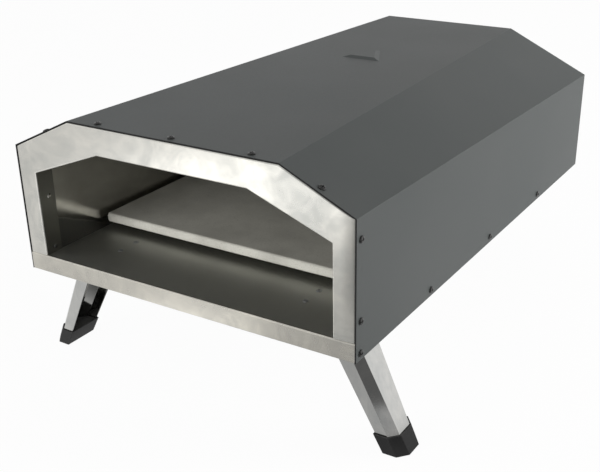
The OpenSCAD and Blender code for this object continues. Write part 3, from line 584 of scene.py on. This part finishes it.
# %% Steel finishes
PATCH_SHARES = {"Cloud": 0.5, "Smear": 0.2, "Blotch": 0.3}
STREAK_SHADE = (0.985, 1.01)       # how much a streak darkens or lightens the steel
WEAR_ROUGHER = 0.25                # what wear adds to the roughness


def make_steel(name, dark, light, brush, rough, cloud_scale=13.0, fold_colour=None,
               bump_strength=0.35, film=None, shade_colour=None, shade_rough=0.5):
    tree, shader, bump = start_finish(name, 1.0, rough[0], 0.00008, bump_strength)
    steel = use_group(tree, "rubbed_steel", Brush=brush, Cloud_Scale=cloud_scale)
    patch = 0.0
    for kind, share in PATCH_SHARES.items():
        patch = sums(tree, "MULTIPLY_ADD", steel[kind], share, patch)
    base = blend_colours(tree, patch, dark, light)
    streak = spread(tree, steel["Streak"], 0.3, 0.7, *STREAK_SHADE)
    shade = add(tree, "ShaderNodeCombineColor", {0: streak, 1: streak, 2: streak}).outputs[0]
    base = blend_colours(tree, 1.0, base, shade, "MULTIPLY")
    low, high = rough
    roughness = spread(tree, patch, 0.0, 1.0, high, low)
    if fold_colour:
        # On the face and the sill the fold colour is a painted shade that dims their bright
        # bends; on the legs it is a lighter rubbed edge.
        edge_mask = use_group(tree, "fold_wear_and_light", Reach=0.001, Breakup=80.0)["Wear"]
        base = blend_colours(tree, edge_mask, base, fold_colour)
        roughness = sums(tree, "MULTIPLY_ADD", edge_mask, WEAR_ROUGHER, roughness)
    # The film is painted shade: it darkens and dulls the steel behind the face.
    if film:
        painted_shade = use_group(tree, "painted_shade_film", **film)["Film"]
        base = blend_colours(tree, painted_shade, base, shade_colour)
        shade_roughness = sums(tree, "MULTIPLY", painted_shade, shade_rough)
        roughness = sums(tree, "MAXIMUM", roughness, shade_roughness)
    tree.links.new(base, shader.inputs["Base Color"])
    tree.links.new(roughness, shader.inputs["Roughness"])
    tree.links.new(steel["Streak"], bump.inputs["Height"])


# %% Make the bright steels
ALONG_X = (25.0, 900.0, 900.0)     # brush strokes that run across the oven
ALONG_Y = (900.0, 25.0, 900.0)     # brush strokes that run front to back
ALONG_Z = (700.0, 700.0, 25.0)     # brush strokes that run up and down

# The face's folds are painted darker, a painted shade that dims their bright bends, and its film
# paints shade on the folds, inside the mouth and on the right post's bowed edge.
make_steel("face_steel", (0.66, 0.665, 0.63, 1), (1.0, 0.975, 0.90, 1), ALONG_X,
           (0.18, 0.30), cloud_scale=11.0, fold_colour=(0.55, 0.55, 0.53, 1),
           bump_strength=0.03, film={"Front": FRONT + 0.0008, "Depth": 0.0010},
           shade_colour=(0.32, 0.32, 0.295, 1), shade_rough=0.38)
# The sill's folds are painted darker as shade that dims their bends, and the film paints shade
# over the tray's floor behind the sill's front face.
make_steel("floor_steel", (0.63, 0.61, 0.56, 1), (0.93, 0.895, 0.795, 1), ALONG_X,
           (0.18, 0.32), cloud_scale=11.0, fold_colour=(0.70, 0.69, 0.66, 1),
           bump_strength=0.03, film={"Front": FRONT + 0.0010, "Depth": 0.0012},
           shade_colour=(0.66, 0.665, 0.625, 1), shade_rough=0.52)
# The liner's film paints the stone's dark reflection and the shade under it on the lower walls.
make_steel("liner_steel", (0.52, 0.51, 0.47, 1), (0.66, 0.65, 0.61, 1), ALONG_Y,
           (0.12, 0.22), cloud_scale=8.0, bump_strength=0.1,
           film={"Front": FRONT, "Top": 0.193, "Fall": 0.45, "Fade": 0.008},
           shade_colour=(0.20, 0.20, 0.19, 1), shade_rough=0.4)
make_steel("leg_steel", (0.60, 0.61, 0.60, 1), (0.78, 0.77, 0.74, 1), ALONG_Z,
           (0.08, 0.14), fold_colour=(0.8, 0.8, 0.78, 1), bump_strength=0.08)

# %% Make the plated and the burnt steel
SPECKS_ALL_WAYS = (300.0, 300.0, 300.0)    # no brush direction
FINER_SPECKS = (400.0, 400.0, 400.0)

make_steel("plain_steel", (0.42, 0.43, 0.44, 1), (0.66, 0.67, 0.68, 1), SPECKS_ALL_WAYS,
           (0.28, 0.45), cloud_scale=60.0)
make_steel("grate_steel", (0.10, 0.095, 0.09, 1), (0.24, 0.21, 0.19, 1), FINER_SPECKS,
           (0.45, 0.62), cloud_scale=70.0)

# %% [markdown]
# **Baking stone.** Cordierite is pressed and fired, so it is matt, pale and sandy, with
# scattered darker grains and fine pores that open on the surface. Voronoi cells give the
# pores, and noise at two sizes gives the mottling.

# %% Baking stone
STONE_DARK, STONE_PALE = (0.50, 0.49, 0.44, 1), (0.62, 0.61, 0.55, 1)
GRAIN_BROWN = (0.26, 0.24, 0.20, 1)
PORE_BROWN, PORE_SHARE = (0.22, 0.20, 0.17, 1), 0.5
PORE_RIM = 0.18                    # how far a pore reaches from its cell's middle
STONE_ROUGH = (0.78, 0.92)


def make_stone():
    tree, shader, bump = start_finish("cordierite", 0.0, 0.85, 0.0006, 0.5)
    place = add(tree, "ShaderNodeTexCoord").outputs["Object"]
    mottle = add(tree, "ShaderNodeTexNoise", {"Vector": place, "Scale": 22.0, "Detail": 6.0})
    sand = add(tree, "ShaderNodeTexNoise", {"Vector": place, "Scale": 700.0, "Detail": 3.0})
    pores = add(tree, "ShaderNodeTexVoronoi", {"Vector": place, "Scale": 330.0})
    base = blend_colours(tree, spread(tree, mottle.outputs[0], 0.35, 0.65),
                         STONE_DARK, STONE_PALE)
    grains = spread(tree, sand.outputs[0], 0.55, 0.75, 0.0, 0.35)
    base = blend_colours(tree, grains, base, GRAIN_BROWN)
    pore = spread(tree, pores.outputs["Distance"], 0.0, PORE_RIM, 1.0, 0.0)
    base = blend_colours(tree, sums(tree, "MULTIPLY", pore, PORE_SHARE), base, PORE_BROWN)
    tree.links.new(base, shader.inputs["Base Color"])
    rough = spread(tree, mottle.outputs[0], 0.3, 0.7, *STONE_ROUGH)
    tree.links.new(rough, shader.inputs["Roughness"])
    height = sums(tree, "SUBTRACT", sums(tree, "MULTIPLY", sand.outputs[0], 0.5), pore)
    tree.links.new(height, bump.inputs["Height"])


make_stone()

# %% [markdown]
# ** Foot plastic, wood, blackened screws and fibre.** These are the small finishes. The caps
# have the fine moulded grain of black plastic, the grips are oiled beech with its grain
# along the turning, the screws are blackened steel whose recess edges are rubbed bright and
# carry a painted glint, and the insulation is a felted mat of short fibres.

# %% Foot plastic
CAP_BLACK, CAP_SPECKS = (0.008, 0.008, 0.008, 1), (0.014, 0.014, 0.014, 1)
CAP_SCUFFS, SCUFF_SHARE = (0.09, 0.09, 0.09, 1), 0.4
CAP_DUST = (0.2, 0.19, 0.18, 1)
CAP_ROUGH, CAP_ROUGHER = 0.42, 0.12    # roughness, and what the specks add to it


def make_foot_plastic():
    tree, shader, bump = start_finish("foot_plastic", 0.0, 0.5, 0.0002, 0.4)
    shader.inputs["Specular IOR Level"].default_value = 0.45
    grain = use_group(tree, "powder_grain", Grain_Scale=1400.0)
    edge_mask = use_group(tree, "fold_wear_and_light", Reach=0.0015, Breakup=120.0)
    dust = use_group(tree, "settled_dust", Amount=0.2)
    base = blend_colours(tree, grain["Speckle"], CAP_BLACK, CAP_SPECKS)
    scuffs = sums(tree, "MULTIPLY", edge_mask["Wear"], SCUFF_SHARE)
    base = blend_colours(tree, scuffs, base, CAP_SCUFFS)
    base = blend_colours(tree, dust["Dust"], base, CAP_DUST)
    tree.links.new(base, shader.inputs["Base Color"])
    rough = sums(tree, "MULTIPLY_ADD", grain["Speckle"], CAP_ROUGHER, CAP_ROUGH)
    tree.links.new(rough, shader.inputs["Roughness"])
    tree.links.new(grain["Height"], bump.inputs["Height"])


make_foot_plastic()

# %% Oiled beech
WOOD_GRAIN = (14.0, 160.0, 160.0)  # the rings' fineness: long along x, tight across it
FLECK_FINER = (14.0, 9.0, 9.0)     # and how much finer the flecks are
WOOD_DARK, WOOD_PALE = (0.30, 0.150, 0.065, 1), (0.50, 0.29, 0.145, 1)
FLECK_BROWN = (0.19, 0.085, 0.035, 1)
WOOD_ROUGH = (0.52, 0.38)


def make_grip_wood():
    tree, shader, bump = start_finish("grip_wood", 0.0, 0.45, 0.0002, 0.5)
    place = add(tree, "ShaderNodeTexCoord").outputs["Object"]
    along = add(tree, "ShaderNodeVectorMath", {0: place, 1: WOOD_GRAIN},
                operation="MULTIPLY").outputs[0]
    rings = add(tree, "ShaderNodeTexNoise",
                {"Vector": along, "Scale": 1.0, "Detail": 4.0, "Distortion": 0.8})
    finer = add(tree, "ShaderNodeVectorMath", {0: along, 1: FLECK_FINER},
                operation="MULTIPLY").outputs[0]
    flecks = add(tree, "ShaderNodeTexNoise", {"Vector": finer, "Scale": 1.0, "Detail": 2.0})
    base = blend_colours(tree, spread(tree, rings.outputs[0], 0.3, 0.7), WOOD_DARK, WOOD_PALE)
    fleck = spread(tree, flecks.outputs[0], 0.58, 0.72, 0.0, 0.6)
    base = blend_colours(tree, fleck, base, FLECK_BROWN)
    tree.links.new(base, shader.inputs["Base Color"])
    rough = spread(tree, rings.outputs[0], 0.3, 0.7, *WOOD_ROUGH)
    tree.links.new(rough, shader.inputs["Roughness"])
    tree.links.new(flecks.outputs[0], bump.inputs["Height"])


make_grip_wood()

# %% Blackened screws
SCREW_BLACK, SCREW_SPECKS = (0.09, 0.09, 0.09, 1), (0.14, 0.139, 0.136, 1)
# the rims are rubbed pale and also carry a painted glint
RIM_WEAR_AND_GLINT, RIM_GLINT_SHARE = (0.42, 0.41, 0.40, 1), 0.5
SCREW_ROUGH, SCREW_ROUGHER = 0.16, 0.10


def make_black_screws():
    tree, shader, bump = start_finish("black_screws", 1.0, 0.35, 0.00006, 0.3)
    grain = use_group(tree, "powder_grain", Grain_Scale=2500.0)
    edge_mask = use_group(tree, "fold_wear_and_light", Reach=0.0004, Breakup=400.0)
    base = blend_colours(tree, grain["Speckle"], SCREW_BLACK, SCREW_SPECKS)
    rims_and_glints = sums(tree, "MULTIPLY", edge_mask["Wear"], RIM_GLINT_SHARE)
    base = blend_colours(tree, rims_and_glints, base, RIM_WEAR_AND_GLINT)
    tree.links.new(base, shader.inputs["Base Color"])
    rough = sums(tree, "MULTIPLY_ADD", grain["Speckle"], SCREW_ROUGHER, SCREW_ROUGH)
    tree.links.new(rough, shader.inputs["Roughness"])
    tree.links.new(grain["Height"], bump.inputs["Height"])


make_black_screws()

# %% Fibre mat
FIBRE_SHADE, FIBRE_PALE = (0.70, 0.67, 0.60, 1), (0.90, 0.89, 0.85, 1)


def make_fibre():
    tree, shader, bump = start_finish("ceramic_fibre", 0.0, 0.95, 0.001, 0.8)
    place = add(tree, "ShaderNodeTexCoord").outputs["Object"]
    strands = add(tree, "ShaderNodeTexNoise",
                  {"Vector": place, "Scale": 180.0, "Detail": 8.0, "Distortion": 2.5})
    lofts = add(tree, "ShaderNodeTexNoise", {"Vector": place, "Scale": 26.0, "Detail": 3.0})
    base = blend_colours(tree, spread(tree, strands.outputs[0], 0.35, 0.65),
                         FIBRE_SHADE, FIBRE_PALE)
    tree.links.new(base, shader.inputs["Base Color"])
    tree.links.new(sums(tree, "ADD", strands.outputs[0], lofts.outputs[0]),
                   bump.inputs["Height"])


make_fibre()
print("all finishes:", len(finishes))

# %% [markdown]
# ## Bending the sheet
#
# CAD leaves every fold as a sharp corner. On the real oven the stainless sheet turns back
# through a bend of a millimetre or two, which shows as a soft line. A Bevel modifier would
# round the cut edges as much as the folds, so the mouth's frame and the floor tray are
# copied, their triangles joined into flat panels, and only the folds are rounded, each kind
# by its own radius. The inner corner of a fold gets the same centre, one sheet smaller.

# %% Copy a sheet with its panels joined
SHEET = 0.001                      # thickness of the stainless sheet
WELD = 0.00002                     # corners closer than this are one corner
SAME_PLANE = math.radians(0.8)     # triangles flatter than this are one panel
FOLD_LEAST = math.radians(12)      # panels that meet in at least this angle make a fold
SHARP_LEAST = math.radians(30)     # corners sharper than this keep a crisp shading


def joined_panels(node):
    bm = bmesh.new()
    bm.from_mesh(nodes[node].data)
    bmesh.ops.remove_doubles(bm, verts=bm.verts, dist=WELD)
    bmesh.ops.dissolve_limit(bm, angle_limit=SAME_PLANE, verts=bm.verts, edges=bm.edges)
    print(node, "has", len(bm.faces), "panels")
    return bm


def round_folds(bm, chosen, radius, steps):
    """Rounds the folds whose two ends and middle pass the chosen test."""
    folds = [e for e in bm.edges if e.is_manifold and e.calc_face_angle() > FOLD_LEAST
             and all(chosen(p) for p in (e.verts[0].co, e.verts[1].co,
                                         (e.verts[0].co + e.verts[1].co) / 2))]
    bmesh.ops.bevel(bm, geom=folds, offset=radius, offset_type="OFFSET", segments=steps,
                    profile=0.5, affect="EDGES", clamp_overlap=True)
    return len(folds)


def smooth_piece(name, bm, finish):
    """Turns a worked mesh into an object with smooth faces and one finish."""
    for face in bm.faces:
        face.smooth = True
    mesh = bpy.data.meshes.new(name)
    bm.to_mesh(mesh)
    bm.free()
    mesh.materials.append(finishes[finish])
    return put_in_scene(name, mesh)


def sheet_piece(name, bm, body, finish, replaced):
    """A worked sheet that rides on a body in place of its CAD piece."""
    for edge in bm.edges:
        edge.smooth = not edge.is_manifold or edge.calc_face_angle() < SHARP_LEAST
    piece = smooth_piece(name, bm, finish)
    piece.modifiers.new("flat_panels", "WEIGHTED_NORMAL").keep_sharp = True
    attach(piece, body)
    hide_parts(replaced)
    return piece


# %% [markdown]
# **The mouth's frame.** Its outer fold and its mouth edge are 1.6 mm round. How far a point
# lies outside the mouth's outline tells the two apart: the mouth's edge lies on the outline,
# and the outer fold well away from it.

# %% Find the mouth's outline
FRAME_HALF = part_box("face_frame")[1].x
CASING_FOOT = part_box("outer_shell")[0].z
MOUTH_HALF = 0.176
MOUTH_TOP_HALF = 0.0885
MOUTH_SIDE_Z = CASING_FOOT + 0.112  # where the mouth's sides end and its slopes begin
MOUTH_TOP_Z = CASING_FOOT + 0.145
SAME_PLACE = 0.0001                # a point this close to a plane lies in it
ON_OUTLINE = 0.0003                # the mouth's edge lies this close to the outline
ON_LIP = 0.0014                    # and the inner corner behind it this close
OFF_OUTLINE = 0.012                # the outer fold lies farther out than this


def above_mouth(p):
    """How far a point lies outside the mouth's outline, in metres."""
    slope = Vector((MOUTH_TOP_Z - MOUTH_SIDE_Z, MOUTH_HALF - MOUTH_TOP_HALF)).normalized()
    leaning = (abs(p.x) - MOUTH_HALF) * slope.x + (p.z - MOUTH_SIDE_Z) * slope.y
    return max(abs(p.x) - MOUTH_HALF, p.z - MOUTH_TOP_Z, leaning)


def at_depth(p, depth):
    return abs(p.y - FRONT - depth) < SAME_PLACE


print("mouth is", round(2 * MOUTH_HALF * 1000), "mm wide, its top",
      round(MOUTH_TOP_Z * 1000), "mm above the ground")

# %% [markdown]
# Folding a side flange also pulls the face back a little beside the fold. On this oven the
# right post leans back by almost a millimetre and the left one hardly at all. The lean grows
# with the square of the way out, so the posts get a few extra cuts to bend along.

# %% Round and bow the mouth's frame
OUTER_BEND, OUTER_STEPS = 0.0016, 5
MOUTH_BEND, MOUTH_STEPS = 0.0016, 4
# Behind the face the painted shade film darkens what lies back, so the right post's bowed edge
# is painted darker.
RIGHT_BOW, LEFT_BOW = 0.0009, 0.0002   # how far each edge of the face lies back
BOW_WIDTH = 0.015                  # width of the part of the face that bows
BOW_DEPTH = 0.008                  # the bow fades out this far behind the face
BOW_CUTS = 4
CUT_SNAP = 0.00001                 # a cut uses a corner that is this close


def cut_all(bm, place, way):
    """Cuts a whole mesh along one plane."""
    bmesh.ops.bisect_plane(bm, geom=bm.verts[:] + bm.edges[:] + bm.faces[:],
                           plane_co=place, plane_no=way, dist=CUT_SNAP)


def bow_sides(bm):
    """Leans the face's last millimetres back on both sides, as folding leaves them."""
    start = FRAME_HALF - BOW_WIDTH
    for cut in range(BOW_CUTS):
        for side in (-1, 1):
            cut_all(bm, (side * (start + cut / BOW_CUTS * BOW_WIDTH), 0, 0), (side, 0, 0))
    for v in bm.verts:
        out = min(max((abs(v.co.x) - start) / BOW_WIDTH, 0), 1)
        near = max(1 - (v.co.y - FRONT) / BOW_DEPTH, 0)
        v.co.y += (RIGHT_BOW if v.co.x > 0 else LEFT_BOW) * out * out * near


def build_mouth_frame():
    bm = joined_panels("face_frame")
    counts = [
        round_folds(bm, lambda p: at_depth(p, 0) and above_mouth(p) > OFF_OUTLINE,
                    OUTER_BEND, OUTER_STEPS),
        round_folds(bm, lambda p: at_depth(p, SHEET) and above_mouth(p) > OFF_OUTLINE,
                    OUTER_BEND - SHEET, OUTER_STEPS),
        round_folds(bm, lambda p: at_depth(p, 0) and above_mouth(p) < ON_OUTLINE,
                    MOUTH_BEND, MOUTH_STEPS),
        round_folds(bm, lambda p: at_depth(p, SHEET) and above_mouth(p) < ON_LIP,
                    MOUTH_BEND - SHEET, MOUTH_STEPS),
    ]
    print("mouth frame folds rounded:", counts)
    bow_sides(bm)
    return sheet_piece("mouth_frame", bm, "casing", "face_steel", "face_frame")


mouth_frame = build_mouth_frame()

# %% [markdown]
# **The floor tray.** Its front edge is the sill. The fold between the sill and the floor is
# as round as the folds of the mouth's frame, and the one along the sill's foot has half that
# radius. The helper that rounds the mouth's frame rounds both.

# %% Round the sill's folds
SILL_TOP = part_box("base_tray")[1].z
SILL_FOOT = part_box("base_tray")[0].z
SILL_BEND, SILL_STEPS = 0.0016, 5
LOWER_BEND, LOWER_STEPS = 0.0008, 4


def at_height(p, height):
    return abs(p.z - height) < SAME_PLACE


def build_floor_tray():
    bm = joined_panels("base_tray")
    counts = [
        round_folds(bm, lambda p: at_depth(p, 0) and at_height(p, SILL_TOP),
                    SILL_BEND, SILL_STEPS),
        round_folds(bm, lambda p: at_depth(p, SHEET) and at_height(p, SILL_TOP - SHEET),
                    SILL_BEND - SHEET, SILL_STEPS),
        round_folds(bm, lambda p: at_depth(p, 0) and at_height(p, SILL_FOOT),
                    LOWER_BEND, LOWER_STEPS),
    ]
    print("floor tray folds rounded:", counts)
    return sheet_piece("floor_tray", bm, "casing", "floor_steel", "base_tray")


floor_tray = build_floor_tray()

# %% [markdown]
# ## The insulation
#
# A blanket of ceramic fibre lies between the liner and the painted casing. It is soft, so a
# plain CAD solid won't do. A voxel remesh would make even quads, but it is slow on a body
# this large and thin. Rounding the folds and cutting the solid along three sets of planes
# gives small panels much sooner. Each point then sinks a little by noise, which leaves the
# dimpled skin of felted fibre. It only ever sinks, so the blanket clears both steel skins.

# %% Felt the blanket
FELT_FOLD, FELT_STEPS = 0.003, 3   # how soft the blanket's corners are
CUT_STEP = 0.010                   # distance between the cuts
SINK = 0.0006                      # how far a point lies inside the solid, on average
DIMPLES = [(0.6, 45), (0.3, 120)]  # share of the sinking, and how many a metre holds


def cut_in_steps(bm, axis, step):
    """Cuts a mesh along planes across one axis, a step apart."""
    way = Vector([float(i == axis) for i in range(3)])
    low = min(v.co[axis] for v in bm.verts)
    high = max(v.co[axis] for v in bm.verts)
    for k in range(1, math.ceil((high - low) / step)):
        cut_all(bm, way * (low + k * step), way)


def build_fibre_blanket():
    bm = joined_panels("insulation_blanket")
    round_folds(bm, lambda p: True, FELT_FOLD, FELT_STEPS)
    for axis in range(3):
        cut_in_steps(bm, axis, CUT_STEP)
    bm.normal_update()
    for v in bm.verts:
        dimple = sum(share * noise.noise(v.co * count) for share, count in DIMPLES)
        v.co -= v.normal * SINK * (1 + dimple)
    piece = smooth_piece("fibre_blanket", bm, "ceramic_fibre")
    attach(piece, "casing")
    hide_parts("insulation_blanket")
    print("blanket has", len(piece.data.polygons), "faces")
    return piece


fibre_blanket = build_fibre_blanket()

# %% [markdown]
# ## Easing the other edges
#
# The remaining CAD pieces stay as they are. Three modifiers ease their edges without
# touching the mesh: Weld joins the corners, Decimate joins coplanar triangles into panels,
# and Bevel rounds what is left that is truly an edge.

# %% Helpers for the CAD pieces
BEVEL_LEAST = math.radians(28)     # edges blunter than this stay as they are
BEVEL_STEPS = 2


def ease(node, width):
    piece = nodes[node]
    weld = piece.modifiers.new("join_corners", "WELD")
    weld.merge_threshold = WELD
    panels = piece.modifiers.new("join_panels", "DECIMATE")
    panels.decimate_type = "DISSOLVE"
    panels.angle_limit = SAME_PLANE
    bevel = piece.modifiers.new("ease_edges", "BEVEL")
    bevel.width = width
    bevel.segments = BEVEL_STEPS
    bevel.limit_method = "ANGLE"
    bevel.angle_limit = BEVEL_LEAST
    bevel.harden_normals = True


def finish_piece(node, finish):
    piece = nodes[node]
    piece.data.materials.clear()
    piece.data.materials.append(finishes[finish])


# %% Finish and ease every CAD piece
FINISH_OF = {
    "casing_paint": ["outer_shell", "rear_panel", "fuel_hatch"],
    "floor_steel": ["air_shutter", "fire_drawer"],
    "liner_steel": ["inner_liner", "stone_rails", "flame_baffle", "drawer_guides",
                    "liner_rivets"],
    "leg_steel": ["leg_left", "leg_right", "leg_rear"],
    "plain_steel": ["hatch_leaf", "hatch_pin", "hatch_posts", "drawer_posts", "bracket_left",
                    "bracket_right", "bracket_rear", "pivot_left", "pivot_right", "pivot_rear",
                    "hinge_rivets", "floor_rivets", "bracket_screws", "bracket_nuts"],
    "grate_steel": ["fire_grate"],
    "cordierite": ["baking_stone"],
    "foot_plastic": ["foot_cap_left", "foot_cap_right", "foot_cap_rear"],
    "grip_wood": ["drawer_grip", "hatch_grip"],
    "black_screws": ["top_screws", "shoulder_screws", "flank_screws", "skirt_screws",
                     "rear_screws", "shutter_knob"],
}
EASED = {                          # the width of the eased edge in metres, and its pieces
    0.0002: ["rear_panel", "air_shutter", "hatch_leaf"],
    0.0003: ["fuel_hatch", "fire_drawer", "drawer_guides"],
    0.0004: ["stone_rails", "flame_baffle", "bracket_left", "bracket_right", "bracket_rear"],
    0.0005: ["inner_liner"],
    0.0006: ["leg_left", "leg_right", "leg_rear"],
    0.0008: ["outer_shell"],
    0.0009: ["foot_cap_left", "foot_cap_right", "foot_cap_rear"],
    0.0030: ["baking_stone"],
}

for finish, members in FINISH_OF.items():
    for member in members:
        finish_piece(member, finish)
for width, members in EASED.items():
    for member in members:
        ease(member, width)
print("finished", sum(map(len, FINISH_OF.values())), "pieces, eased",
      sum(map(len, EASED.values())))
